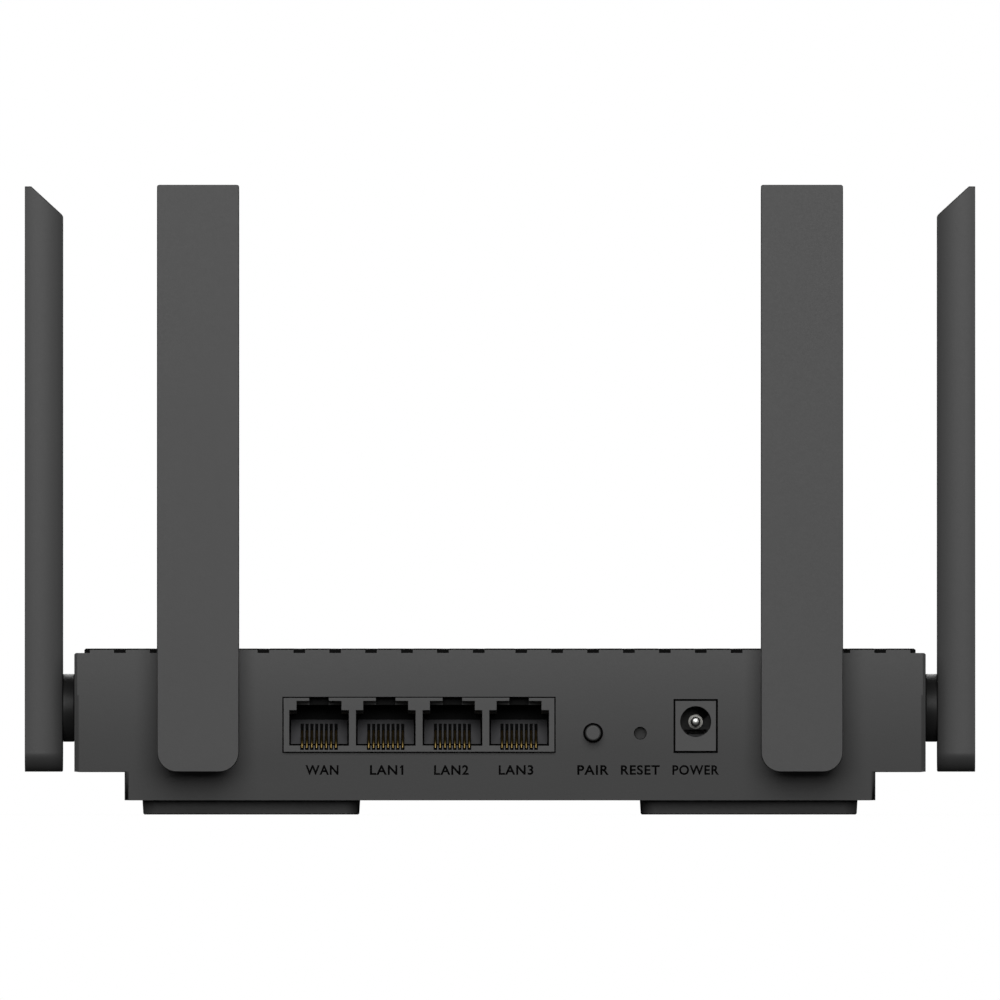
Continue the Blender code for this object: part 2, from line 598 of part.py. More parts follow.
def make_antenna(name, pivot, turn):
    """One paddle antenna: front shell, back plate with its knuckle, radiator and clip."""
    empty = frame_empty(f"{name}_pivot", pivot, turn)
    thickness = PADDLE_BACK - PADDLE_FACE
    depths = [thickness, 6.3, 4.7, 3.0, PADDLE_FLAT_TOP]
    depths += [PADDLE_EDGE[0] * share for share in (1.0, 0.45, 0.15, 0.0)]
    shell = loft([paddle_ring(depth) for depth in depths])
    hollow = prism(rounded_rectangle((-HOLLOW_HALF, HOLLOW_HALF), (-12.1, 100.5),
                                     (2.9, 2.9, 1.0, 1.0)), "Y",
                   PADDLE_FACE + 1.3, PADDLE_BACK + 0.5)
    piece(f"{name}_cover", shell, "antenna_abs", empty, ("cut", [hollow]))

    plate_half = HOLLOW_HALF - GAP
    plate = prism(rounded_rectangle((-plate_half, plate_half), (-11.8, 100.2),
                                    (2.6, 2.6, 0.7, 0.7)), "Y",
                  PADDLE_BACK - 0.05, PADDLE_BACK - 1.25)
    knuckle = [(6.0, PADDLE_BACK - 0.15), (6.0, PADDLE_BACK + GAP),
               (KNUCKLE_RADIUS, PADDLE_BACK + GAP), (KNUCKLE_RADIUS, -GAP),
               (SPIGOT_RADIUS, -GAP), (SPIGOT_RADIUS, 3.6), (3.4, 3.6), (3.4, 4.8),
               (SPIGOT_RADIUS, 4.8), (SPIGOT_RADIUS, 6.2)]
    piece(f"{name}_back", plate, "antenna_abs", empty,
          ("join", [turned(knuckle, "Y")]),
          ("cut", [rod(1.6, "Y", PADDLE_BACK - 2, 7.0, sides=12)]))

    lead = wire(smooth_route([(0, -5.0, 12.0), (0, -5.0, 5.0), (0, -4.6, 1.6), (0, -3.2, 0.2),
                              (0, -1.6, 0.0), (0, 2.2, 0.0)], 2), 0.6, 6)
    board = box((-5.0, 5.0), (-5.4, -4.6), (10.0, 92.0))
    piece(f"{name}_radiator", board, "green_circuit_board", empty, ("join", [lead]))

    ring = arc((0.0, 0.0), 6.0, -60, 240, 15) + arc((0.0, 0.0), 3.7, 240, -60, 15)
    piece(f"{name}_clip", prism(ring, "Y", 3.9, 4.5), "zinc_plated_steel", empty)


def make_antennas():
    """Two antennas on the rear panel and one on each side wall."""
    for label, side in (("left", -1), ("right", 1)):
        make_antenna(f"antenna_rear_{label}", (side * REAR_ANTENNA_X, PANEL_Y, PIVOT_Z), 0.0)
        make_antenna(f"antenna_side_{label}",
                     (side * BODY_HALF, PANEL_Y + SIDE_ANTENNA_Y, PIVOT_Z), 90.0 * side)


def make_coax_leads(body):
    """The lead from each antenna's hollow spigot to its plug on the board."""
    routes = {   # for the right-hand side; the last point is the plug
        "rear": [(63.2, 3.2, 22.4), (63.2, 10.0, 22.4), (62.0, 18.0, 21.0), (58.0, 28.0, 18.0),
                 (53.0, 35.0, 14.6), (52.0, 36.4, 14.0)],
        "side": [(86.0, 20.0, 22.4), (79.0, 20.0, 22.4), (66.0, 26.0, 21.0),
                 (62.0, 38.0, 17.5), (55.0, 48.8, 14.6), (54.0, 50.2, 14.0)],
    }
    for place, route in routes.items():
        for label, side in (("left", -1), ("right", 1)):
            points = [(side * x, y, z) for x, y, z in route]
            plug_x, plug_y, _ = points[-1]
            plug = turned([(1.5, PART_Z), (1.7, PART_Z + 0.3), (1.7, PART_Z + 1.3),
                           (1.3, PART_Z + 1.6)], "Z", (plug_x, plug_y), 16)
            piece(f"coax_{place}_{label}", wire(smooth_route(points), 0.57), "coax_jacket",
                  body, ("join", [plug]))


def main():
    for obj in list(bpy.data.objects):
        bpy.data.objects.remove(obj, do_unlink=True)
    body = frame_empty("rear_panel_frame", (0.0, PANEL_Y, 0.0))
    make_top_cover(body)
    make_bottom_tray(body)
    make_feet(body)
    make_screws(body)
    make_board(body)
    make_port_block(body)
    make_contact_inserts(body)
    make_power_jack(body)
    make_buttons(body)
    make_components(body)
    make_antennas()
    make_coax_leads(body)


main()
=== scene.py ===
"""How the wireless router looks: its shells, sockets, contacts, lettering and finishes.

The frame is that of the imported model: X to the right as seen from behind, the rear panel
towards -Y, Z up, the feet on z = 0. Blender works in metres. Pieces that are drawn here are in
millimetres about a place of their own, such as an antenna's pivot.
"""
import json
import math

import bmesh
import bpy
from mathutils import Matrix, Vector
from mathutils.bvhtree import BVHTree

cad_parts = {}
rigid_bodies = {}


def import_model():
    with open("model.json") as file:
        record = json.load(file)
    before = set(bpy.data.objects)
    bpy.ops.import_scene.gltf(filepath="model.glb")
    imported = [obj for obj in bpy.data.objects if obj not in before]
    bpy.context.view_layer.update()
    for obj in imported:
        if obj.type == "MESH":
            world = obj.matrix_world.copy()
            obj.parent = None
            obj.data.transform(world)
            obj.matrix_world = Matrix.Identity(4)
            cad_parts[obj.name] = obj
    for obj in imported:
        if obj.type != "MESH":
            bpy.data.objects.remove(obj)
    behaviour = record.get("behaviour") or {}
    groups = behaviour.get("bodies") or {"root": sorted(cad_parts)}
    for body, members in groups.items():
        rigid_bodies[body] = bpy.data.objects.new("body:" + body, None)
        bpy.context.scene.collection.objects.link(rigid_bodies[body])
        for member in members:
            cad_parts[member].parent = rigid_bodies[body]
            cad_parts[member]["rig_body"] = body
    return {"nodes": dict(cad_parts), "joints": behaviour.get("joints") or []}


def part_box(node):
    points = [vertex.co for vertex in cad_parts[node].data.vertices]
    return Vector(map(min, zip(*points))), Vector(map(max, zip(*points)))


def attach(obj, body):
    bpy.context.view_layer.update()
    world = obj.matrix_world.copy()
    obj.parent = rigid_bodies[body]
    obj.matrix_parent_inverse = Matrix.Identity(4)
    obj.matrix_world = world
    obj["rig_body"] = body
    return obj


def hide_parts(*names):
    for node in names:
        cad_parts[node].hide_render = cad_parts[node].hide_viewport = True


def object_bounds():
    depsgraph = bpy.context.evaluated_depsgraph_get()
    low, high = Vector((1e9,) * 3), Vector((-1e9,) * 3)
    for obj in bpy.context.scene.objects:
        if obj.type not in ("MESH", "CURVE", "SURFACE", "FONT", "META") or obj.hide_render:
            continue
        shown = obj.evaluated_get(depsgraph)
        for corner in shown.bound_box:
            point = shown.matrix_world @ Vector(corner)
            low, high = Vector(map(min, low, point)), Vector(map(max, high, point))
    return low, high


ANTENNAS = ("antenna_rear_left", "antenna_rear_right", "antenna_side_left", "antenna_side_right")
SOCKETS = ("wan", "lan1", "lan2", "lan3")
FEET = ("rear_left", "rear_right", "front_left", "front_right")

# Sizes in millimetres
CAD_WELD = 0.002              # points of the CAD meshes this near to each other are one
SKIN_WELD = 0.001             # and those of the pieces drawn here
DECK_STEP = 0.95              # from the raised deck down to its grooves' floors
DECK_INSET = 2.1              # from the body's sides and front to the deck's
DECK_REAR = 0.1               # from the body's rear to the deck's
DECK_STRIP = 0.75             # the coarse strip along each side of the deck
VENT_WALL = 1.9               # how far below the grooves' floors their painted shade reaches
DECK_EDGE = 0.1               # the chamfers round the deck, the lower shell's
TRAY_EDGE = 0.25              # underside and the sockets' faces
SOCKET_EDGE = 0.08
SHARP_ANGLE = 32              # edges that turn by more degrees than this stay sharp
LEAN_TOP, LEAN_KNEE = 34.0, 12.0              # the rear panel curves inwards between these
LEAN_SLOPE = math.tan(math.radians(5.5))      # heights, and runs straight below them
MOUTH_STEP = 2.0              # how far in each socket's ceiling drops
WEDGE_FOOT, WEDGE_SLOPE = (1.9, 14.8), 0.56   # the contact wedge's ramp: its foot and its rise
CONTACT_PITCH = 1.016
CONTACTS = 8
SLOTS_HALF = 4.2              # half the width of the wedge's slotted stretch
WIRE_RADIUS = 0.22
WIRE_ROUTE = ((0.6, 13.95), (0.75, 14.6), (1.0, 15.15), (1.5, 15.6), (3.2, 16.3),
              (6.0, 17.0), (9.0, 17.5))       # depths behind the sockets' face, and heights
PADDLE_TAPER = 1.15           # how far each narrow side curves in towards the back
PADDLE_WIDEST = 2.2           # depth at which the bowed narrow sides stand furthest out
PADDLE_EDGE = {0.0: 0.06, 0.06: 0.0, 0.7: 0.0}        # the outline's inset at each depth
PADDLE_CORNERS = (4.0, 0.4)   # the blade's corner radii at the foot and at the top
PADDLE_SLANT = 6.0            # the top drops this far from the outer face to the back
PADDLE_FLAT_TOP = 1.36        # depth of the level strip behind the outer face
PADDLE_WALL = 1.3             # the thickness of the outer face
HOLLOW_HALF = 6.7             # half the width of the blade's hollow
HOLLOW_Z = (-12.1, 100.5)     # its foot and its top, about the pivot
HOLLOW_CORNERS = (2.9, 1.0)
SEAM = 0.3                    # between the antenna's shell and its back plate
WALL_GAP = 0.15               # between the knuckle and the wall it turns on
KNUCKLE_RADIUS = 7.13
SPIGOT_RADIUS = 4.0
SPIGOT_END = 6.2              # how far the spigot reaches into the case
CLIP_GROOVE = (3.6, 4.8)      # where the spring clip grips the spigot
CLIP_GROOVE_RADIUS = 3.4
BORE_RADIUS = 1.6             # the hole for the lead
BUTTON_PROUD = 1.1            # how far beyond the CAD one the pairing button stands, where
                              # an antenna that lies level still passes clear of it
BUTTON_RADIUS = 1.65
RESET_DEPTH = 1.3             # the reset button's tip lies this much deeper than the CAD one
SHADE_FRAME_DEPTHS = (1.15, 1.6)     # the housings' near-black shade frames lie between these depths behind their faces
SHADE_FRAME_BITE = 0.1               # how far each frame reaches into what it borders
LABEL_PITCH = 13.55
LABEL_HEIGHT = 2.05
LABEL_TOP = 10.37             # above the surface that the feet stand on
LABEL_WIDTHS = {"WAN": 6.9, "LAN1": 7.0, "LAN2": 7.25, "LAN3": 7.25, "PAIR": 6.6, "RESET": 8.15,
                "POWER": 9.75}

# The camera
LENS = 1600.0                 # so long that the view is close to a parallel one
VIEW_WIDTH = 1.0507           # the width that is seen, over the object's own

# The letters, as shares of their size
STROKE_GROWTH = 0.024         # thickens the strokes
LETTER_SPACING = 1.12


def mm(length):
    return length * 0.001


def per_mm(size):
    """A texture scale whose features are this many millimetres across."""
    return 1000.0 / size


def middle(node):
    low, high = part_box(node)
    return (low + high) / 2


# ---- camera, light and stage ----

def aim(obj, target):
    obj.rotation_euler = (Vector(target) - obj.location).to_track_quat("-Z", "Y").to_euler()


def make_camera(low, high):
    """A very long lens, level with the surface, so that the rear panel is seen square on."""
    data = bpy.data.cameras.new("camera")
    data.lens = LENS
    distance = VIEW_WIDTH * (high.x - low.x) * data.lens / data.sensor_width
    data.clip_end = 2 * distance
    camera = bpy.data.objects.new("camera", data)
    bpy.context.collection.objects.link(camera)
    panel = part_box("port_housing")[0].y
    camera.location = (0.0, panel - distance, 0.0)
    aim(camera, (0.0, panel, (high.z + low.z) / 2))
    bpy.context.scene.camera = camera


def softbox(name, place, target, size, watts):
    data = bpy.data.lights.new(name, "AREA")
    data.shape = "RECTANGLE"
    data.size, data.size_y = size
    data.energy = watts
    light = bpy.data.objects.new(name, data)
    light.location = place
    light.visible_camera = False
    bpy.context.collection.objects.link(light)
    aim(light, target)


def make_lights():
    """A broad key on the rear panel's side; the others light the top, the sides and the front."""
    centre = (0.0, mm(-50), mm(40))
    softbox("key_softbox", (0.0, -1.3, 0.5), centre, (0.95, 0.85), 12.0)
    softbox("top_softbox", (0.0, 1.15, 0.7), (0.0, 0.05, 0.0), (1.2, 0.9), 11.0)
    for side in (-1, 1):
        softbox("wing_softbox", (side * 0.75, 0.05, 0.3), centre, (0.5, 0.5), 1.2)


def make_stage():
    """A pale floor that throws no light on the object, and a surround that hardly does."""
    bpy.ops.mesh.primitive_circle_add(vertices=96, radius=0.7, fill_type="NGON",
                                      location=(0.0, 0.0, mm(-0.05)))
    floor = bpy.context.object
    floor.name = "floor"
    _, shader = new_material("matt_white_paper")
    shader.inputs["Base Color"].default_value = srgb("#F4F4F3")
    shader.inputs["Roughness"].default_value = 0.9
    floor.data.materials.append(bpy.data.materials["matt_white_paper"])
    floor.visible_diffuse = False
    floor.visible_glossy = False

    world = bpy.data.worlds.new("studio")
    world.use_nodes = True
    bpy.context.scene.world = world
    tree = world.node_tree
    tree.nodes.clear()
    seen = add(tree, "ShaderNodeBackground", {"Color": (1, 1, 1, 1), "Strength": 1.0})
    lit = add(tree, "ShaderNodeBackground", {"Color": (1, 1, 1, 1), "Strength": 0.03})
    path = add(tree, "ShaderNodeLightPath")
    mix = add(tree, "ShaderNodeMixShader", {}, {0: path.outputs["Is Camera Ray"],
                                                1: lit.outputs[0], 2: seen.outputs[0]})
    add(tree, "ShaderNodeOutputWorld", {}, {"Surface": mix.outputs[0]})
    bpy.context.scene.view_settings.view_transform = "Standard"


# ---- materials ----

def srgb(code):
    """A hex colour as linear light, with alpha."""
    channels = [int(code[i:i + 2], 16) / 255 for i in (1, 3, 5)]
    linear = [c / 12.92 if c <= 0.04045 else ((c + 0.055) / 1.055) ** 2.4 for c in channels]
    return (*linear, 1.0)


def add(tree, kind, values=None, links=None, **settings):
    """One node, with its settings, its unlinked values and what its inputs are linked to."""
    made = tree.nodes.new(kind)
    for name, value in settings.items():
        setattr(made, name, value)
    for name, value in (values or {}).items():
        made.inputs[name].default_value = value
    for name, source in (links or {}).items():
        tree.links.new(source, made.inputs[name])
    return made


def new_material(name):
    material = bpy.data.materials.new(name)
    material.use_nodes = True
    return material.node_tree, material.node_tree.nodes["Principled BSDF"]


def moulded(name, colour, lighter, roughness, grain_mm, depth_mm, ior):
    """Moulded plastic: an even colour with faint clouding, and the tool's fine matt grain.

    The real grain is about a tenth of a millimetre wide, so it is drawn as coarse as it needs
    to be to show.
    """
    tree, shader = new_material(name)
    place = add(tree, "ShaderNodeTexCoord").outputs["Object"]
    cloud = add(tree, "ShaderNodeTexNoise", {"Scale": per_mm(18), "Detail": 3.0},
                {"Vector": place})
    tint = add(tree, "ShaderNodeMix", {"A": srgb(colour), "B": srgb(lighter)},
               {"Factor": cloud.outputs["Fac"]}, data_type="RGBA")
    grain = add(tree, "ShaderNodeTexNoise", {"Scale": per_mm(grain_mm), "Detail": 2.0,
                                             "Roughness": 0.6}, {"Vector": place})
    spread = add(tree, "ShaderNodeMapRange", {"To Min": roughness - 0.06,
                                              "To Max": roughness + 0.06},
                 {"Value": grain.outputs["Fac"]})
    bump = add(tree, "ShaderNodeBump", {"Strength": 0.35, "Distance": mm(depth_mm)},
               {"Height": grain.outputs["Fac"]})
    tree.links.new(tint.outputs["Result"], shader.inputs["Base Color"])
    tree.links.new(spread.outputs["Result"], shader.inputs["Roughness"])
    tree.links.new(bump.outputs["Normal"], shader.inputs["Normal"])
    shader.inputs["IOR"].default_value = ior
    return bpy.data.materials[name]


def plated(name, colour, darker, roughness, streak_mm, stretch):
    """Bare or plated metal: fine drawn or tumbled streaks that spread its highlights.

    The real streaks are hair-thin, so they too are drawn coarser.
    """
    tree, shader = new_material(name)
    place = add(tree, "ShaderNodeTexCoord").outputs["Object"]
    mapping = add(tree, "ShaderNodeMapping", {"Scale": stretch}, {"Vector": place})
    streak = add(tree, "ShaderNodeTexNoise", {"Scale": per_mm(streak_mm), "Detail": 3.0},
                 {"Vector": mapping.outputs["Vector"]})
    tint = add(tree, "ShaderNodeMix", {"A": srgb(colour), "B": srgb(darker)},
               {"Factor": streak.outputs["Fac"]}, data_type="RGBA")
    spread = add(tree, "ShaderNodeMapRange", {"To Min": roughness - 0.08,
                                              "To Max": roughness + 0.08},
                 {"Value": streak.outputs["Fac"]})
    bump = add(tree, "ShaderNodeBump", {"Strength": 0.2, "Distance": mm(0.02)},
               {"Height": streak.outputs["Fac"]})
    tree.links.new(tint.outputs["Result"], shader.inputs["Base Color"])
    tree.links.new(spread.outputs["Result"], shader.inputs["Roughness"])
    tree.links.new(bump.outputs["Normal"], shader.inputs["Normal"])
    shader.inputs["Metallic"].default_value = 1.0
    return bpy.data.materials[name]


# Colour, the clouding's lighter colour, roughness, the grain's width and depth in mm, and IOR
MOULDED = {
    # Case shells: a spark-eroded tool leaves an even, dry dark grey without a clear highlight
    "spark_textured_abs": ("#424242", "#454545", 0.5, 0.45, 0.03, 1.53),
    # The deck's grooves and side strips: nearly black with a deep, rough grain; in the grooves the
    # black is painted shade
    "coarse_textured_abs": ("#0D0D0D", "#121212", 0.8, 0.7, 0.06, 1.3),
    # Antenna blades: the same plastic with a finer grain, so slightly smoother to the eye
    "fine_matt_abs": ("#3E3E3E", "#414141", 0.48, 0.4, 0.02, 1.53),
    # Back plates, knuckles and reset button: acetal is darker and waxy, with a soft sheen
    "matt_black_acetal": ("#2A2A2A", "#2E2E2E", 0.45, 0.4, 0.01, 1.32),
    # Gap frames: near-black painted shade in the gaps round the housings and the button, which
    # shows only as a dark line
    "closed_cell_foam": ("#040404", "#070707", 0.9, 0.3, 0.03, 1.2),
    # The housings' faces: glass-filled nylon is dull and even, as dark as the case
    "grey_filled_nylon": ("#424242", "#464646", 0.5, 0.3, 0.02, 1.53),
    # Inside the sockets and the wedges' slots: near-black painted shade; the switch bodies are of
    # this black nylon
    "black_filled_nylon": ("#0A0A0A", "#0E0E0E", 0.7, 0.3, 0.02, 1.25),
    # Contact wedges: plain nylon, smoother and lighter than the block round it
    "dark_grey_nylon": ("#545456", "#5A5A5C", 0.45, 0.3, 0.01, 1.53),
    # Inside the power socket: a dark painted shade, satin so that it still shows its round wall
    "satin_black_nylon": ("#171717", "#1B1B1B", 0.5, 0.3, 0.01, 1.4),
    # Buttons: a satin face, smoother than the case but of its colour
    "satin_button_abs": ("#414141", "#444444", 0.5, 0.3, 0.01, 1.53),
    # Feet: soft rubber, darker than the case and without shine
    "moulded_rubber": ("#343434", "#383838", 0.75, 0.5, 0.05, 1.52),
    # Chips: moulded epoxy, a flat, even black
    "chip_epoxy": ("#1A1B1C", "#242526", 0.6, 0.25, 0.02, 1.53),
    # Inductor: fired ferrite, a chalky dark grey with a rough skin
    "ferrite_ceramic": ("#37383A", "#434447", 0.7, 0.6, 0.05, 1.53),
    # Thermal pad: filled silicone, a dull grey blue
    "silicone_gap_pad": ("#8297AC", "#93A6B8", 0.8, 1.2, 0.05, 1.41),
    # Leads: extruded vinyl, black with a faint gloss
    "pvc_cable_jacket": ("#262627", "#2E2E2F", 0.45, 0.5, 0.01, 1.53),
    # Lettering: a flat film of black ink, which takes no highlight
    "pad_printing_ink": ("#020202", "#040404", 0.9, 0.3, 0.005, 1.2),
}

# Colour, the streaks' darker colour, roughness, the streaks' width in mm, and their stretch
EVEN = (1.0, 1.0, 1.0)
PLATED = {
    # Socket contacts: a thin flash of gold on bronze, a warm yellow dulled to ochre
    "gold_plated_bronze": ("#9A8450", "#857041", 0.42, 0.4, EVEN),
    # The power pin's collar: nickel, a warm grey that mirrors softly
    "nickel_plated_brass": ("#7D7C79", "#747370", 0.3, 2.0, EVEN),
    # The power socket's side contact: steel darkened as painted shade, so that it hardly shows
    "blackened_spring_steel": ("#2A2A2B", "#222223", 0.5, 0.6, EVEN),
    # The power pin and the radio shield: bright tin with a broad, soft highlight
    "tin_plated_steel": ("#CFCFCC", "#B5B5B2", 0.35, 2.0, EVEN),
    # Screws and clips: zinc, bluish and fairly bright
    "zinc_plated_steel": ("#B9BDC2", "#9EA3A9", 0.35, 0.6, EVEN),
    # Heatsink and capacitor can: long die lines along the length spread the light across it
    "extruded_aluminium": ("#C9CBCD", "#B4B6B8", 0.4, 0.5, (1.0, 0.05, 1.0)),
}


def make_materials():
    finishes = {name: moulded(name, *values) for name, values in MOULDED.items()}
    finishes.update({name: plated(name, *values) for name, values in PLATED.items()})
    finishes["solder_mask_glass_epoxy"] = circuit_board()
    finishes["frosted_acrylic"] = frosted_acrylic()
    return finishes


def circuit_board():
    """Glass epoxy under green solder mask, with lighter copper tracks showing through it."""
    name = "solder_mask_glass_epoxy"
    tree, shader = new_material(name)
    place = add(tree, "ShaderNodeTexCoord").outputs["Object"]
    tracks = add(tree, "ShaderNodeTexBrick",
                 {"Scale": 1.0, "Mortar Size": mm(0.25), "Brick Width": mm(6.5),
                  "Row Height": mm(1.3), "Color1": srgb("#1B4F33"),
                  "Color2": srgb("#18482E"), "Mortar": srgb("#2F7A50")}, {"Vector": place})
    weave = add(tree, "ShaderNodeTexNoise", {"Scale": per_mm(0.8), "Detail": 2.0},
                {"Vector": place})
    bump = add(tree, "ShaderNodeBump", {"Strength": 0.2, "Distance": mm(0.03)},
               {"Height": weave.outputs["Fac"]})
    tree.links.new(tracks.outputs["Color"], shader.inputs["Base Color"])
    tree.links.new(bump.outputs["Normal"], shader.inputs["Normal"])
    shader.inputs["Roughness"].default_value = 0.35
    return bpy.data.materials[name]


def frosted_acrylic():
    """Acrylic moulded with a frosted skin, which makes it milky and blurs what is behind it."""
    name = "frosted_acrylic"
    tree, shader = new_material(name)
    place = add(tree, "ShaderNodeTexCoord").outputs["Object"]
    frost = add(tree, "ShaderNodeTexNoise", {"Scale": per_mm(0.5), "Detail": 2.0},
                {"Vector": place})
    bump = add(tree, "ShaderNodeBump", {"Strength": 0.2, "Distance": mm(0.02)},
               {"Height": frost.outputs["Fac"]})
    tree.links.new(bump.outputs["Normal"], shader.inputs["Normal"])
    shader.inputs["Base Color"].default_value = srgb("#C9CED2")
    shader.inputs["Roughness"].default_value = 0.35
    shader.inputs["IOR"].default_value = 1.49
    shader.inputs["Transmission Weight"].default_value = 0.4
    return bpy.data.materials[name]


# ---- outlines and skins, in millimetres about a place ----

def arc(centre, radius, start, end, steps):
    """Points on an arc, with both ends, angles in degrees."""
    angles = [math.radians(start + (end - start) * i / steps) for i in range(steps + 1)]
    return [(centre[0] + radius * math.cos(t), centre[1] + radius * math.sin(t)) for t in angles]


def ring(y, across, upright, radii, steps=10):
    """A rounded rectangle square to Y, from its lower left corner round to its upper left."""
    (x0, x1), (z0, z1), (low, high) = across, upright, radii
    outline = (arc((x0 + low, z0 + low), low, 180, 270, steps)
               + arc((x1 - low, z0 + low), low, 270, 360, steps)
               + arc((x1 - high, z1 - high), high, 0, 90, steps)
               + arc((x0 + high, z1 - high), high, 90, 180, steps))
    return [(x, y, z) for x, z in outline]


def circle(y, radius, steps=18):
    return ring(y, (-radius, radius), (-radius, radius), (radius, radius), steps)


def rounded_corner(y, radius, size, turn):
    """A quarter round for a turned profile: rises to the radius, or falls from it."""
    points = []
    for degrees in (0, 22.5, 45, 67.5, 90):
        t = math.radians(degrees)
        points.append((y + size * (1 - math.cos(t)), radius - size * (1 - math.sin(t))))
    return points if turn == "rise" else [(2 * y + size - a, r) for a, r in reversed(points)]


def skin(name, rings, look, body, place, closed=False):
    """A closed piece stretched over rings that all have the same number of points."""
    bm = bmesh.new()
    loops = [[bm.verts.new(place @ Vector(p)) for p in points] for points in rings]
    count = len(loops[0])
    for near, far in zip(loops, loops[1:] + loops[:1] * closed):
        for i in range(count):
            j = (i + 1) % count
            bm.faces.new((near[i], near[j], far[j], far[i]))
    if not closed:
        bm.faces.new(loops[0])
        bm.faces.new(loops[-1])
    bmesh.ops.remove_doubles(bm, verts=bm.verts, dist=mm(SKIN_WELD))
    bmesh.ops.dissolve_degenerate(bm, dist=mm(SKIN_WELD), edges=bm.edges)
    bmesh.ops.recalc_face_normals(bm, faces=bm.faces)
    mesh = bpy.data.meshes.new(name)
    bm.to_mesh(mesh)
    bm.free()
    return finished_piece(name, mesh, [look], body)


def finished_piece(name, mesh, looks, body):
    """Shades a mesh so that its flat faces stay flat and its rounds run smooth."""
    for look in looks:
        mesh.materials.append(look)
    mesh.shade_smooth()
    mesh.set_sharp_from_angle(angle=math.radians(SHARP_ANGLE))
    piece = bpy.data.objects.new(name, mesh)
    bpy.context.collection.objects.link(piece)
    shading = piece.modifiers.new("flats_stay_flat", "WEIGHTED_NORMAL")
    shading.keep_sharp = True
    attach(piece, body)
    return piece


def refined_copy(node, name, looks, edge_mm=0.0, flat=None, region=None):
    """The CAD piece again, standing for it: welded, with the edges round its face broken.

    flat is the face's axis and place. region says which faces take the second finish.
    """
    source = frame["nodes"][node]
    bm = bmesh.new()
    bm.from_mesh(source.data)
    bmesh.ops.remove_doubles(bm, verts=bm.verts, dist=mm(CAD_WELD))
    if region:
        region(bm)
    bmesh.ops.dissolve_limit(bm, angle_limit=math.radians(0.6), verts=bm.verts,
                             edges=bm.edges, delimit={"MATERIAL"})
    bmesh.ops.recalc_face_normals(bm, faces=bm.faces)
    if edge_mm:
        axis, place = flat
        rim = [edge for edge in bm.edges
               if all(abs(v.co[axis] - place) < mm(0.01) for v in edge.verts)
               and edge.calc_face_angle(0.0) > math.radians(30)]
        bmesh.ops.bevel(bm, geom=rim, offset=mm(edge_mm), offset_type="OFFSET", segments=1,
                        profile=0.5, affect="EDGES", clamp_overlap=False, material=-1)
    mesh = bpy.data.meshes.new(name)
    bm.to_mesh(mesh)
    bm.free()
    piece = finished_piece(name, mesh, looks, source["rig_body"])
    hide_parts(node)
    return piece


# ---- the housing ----

def cut_upright(bm, faces, axis, place):
    """Splits faces along an upright plane, so that each side of it can take its own finish."""
    normal = Vector((axis == 0, axis == 1, 0.0))
    corners = {v for f in faces for v in f.verts}
    edges = {e for f in faces for e in f.edges}
    bmesh.ops.bisect_plane(bm, geom=faces + list(edges) + list(corners),
                           plane_co=normal * place, plane_no=normal, dist=mm(CAD_WELD))


def groove_shade_faces(bm):
    """The deck's side strips, and its grooves' walls and floors, take the near-black finish,
    painted shade in the grooves, with its coarser texture.
    """
    low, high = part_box("top_cover")
    floor_z = high.z - mm(DECK_STEP)
    deck_low = low + Vector((mm(DECK_INSET), mm(DECK_REAR), 0.0))
    deck_high = high - Vector((mm(DECK_INSET), mm(DECK_INSET), 0.0))
    for axis in (0, 1):
        for place in (deck_low[axis], deck_high[axis]):
            floors = [f for f in bm.faces if abs(f.calc_center_median().z - floor_z) < mm(0.01)]
            cut_upright(bm, floors, axis, place)
    strips = (deck_low.x + mm(DECK_STRIP), deck_high.x - mm(DECK_STRIP))
    for place in strips:
        raised = [f for f in bm.faces if f.calc_center_median().z > floor_z + mm(0.05)]
        cut_upright(bm, raised, 0, place)
    margin = mm(0.02)
    for face in bm.faces:
        centre = face.calc_center_median()
        in_strip = not strips[0] < centre.x < strips[1] and centre.z > floor_z + mm(0.05)
        inside = all(deck_low[i] + margin < centre[i] < deck_high[i] - margin for i in (0, 1))
        chamfered = face.normal.z > 0.5 and centre.z > floor_z + mm(0.1)
        sunk = floor_z - mm(VENT_WALL) < centre.z < high.z - mm(0.05)
        # Painted shade: the grooves' walls and floors take the near-black finish, and so do the
        # side strips
        if in_strip or inside and sunk and not chamfered:
            face.material_index = 1


def deeper_than(node, depth):
    """The faces of a socket further in than a depth take the second finish, a near-black painted
    shade.
    """
    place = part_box(node)[0].y + mm(depth)

    def mark(bm):
        for face in bm.faces:
            if face.calc_center_median().y > place:
                face.material_index = 1
    return mark


def lean(z):
    """How far the rear panel lies inside the upright at a height, and its slope there."""
    curved = LEAN_TOP - min(max(z, LEAN_KNEE), LEAN_TOP)
    span = LEAN_TOP - LEAN_KNEE
    inside = LEAN_SLOPE * (curved ** 2 / (2 * span) + max(0.0, LEAN_KNEE - z))
    return inside, LEAN_SLOPE * curved / span


def smooth_rear_panel(shell):
    """Turns the panel's shading normals to the curve that its flat strips stand for."""
    graph = bpy.context.evaluated_depsgraph_get()
    mesh = bpy.data.meshes.new_from_object(shell.evaluated_get(graph))
    shell.modifiers.clear()
    shell.data = mesh
    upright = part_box("top_cover")[0].y
    normals = [Vector(corner.vector) for corner in mesh.corner_normals]
    for face in mesh.polygons:
        inside, _ = lean(face.center.z * 1000)
        if face.normal.y < -0.98 and abs(face.center.y - upright - mm(inside)) < mm(0.1):
            for corner, vertex in zip(face.loop_indices, face.vertices):
                _, slope = lean(mesh.vertices[vertex].co.z * 1000)
                normals[corner] = Vector((0.0, -1.0, -slope)).normalized()
    mesh.normals_split_custom_set(normals)


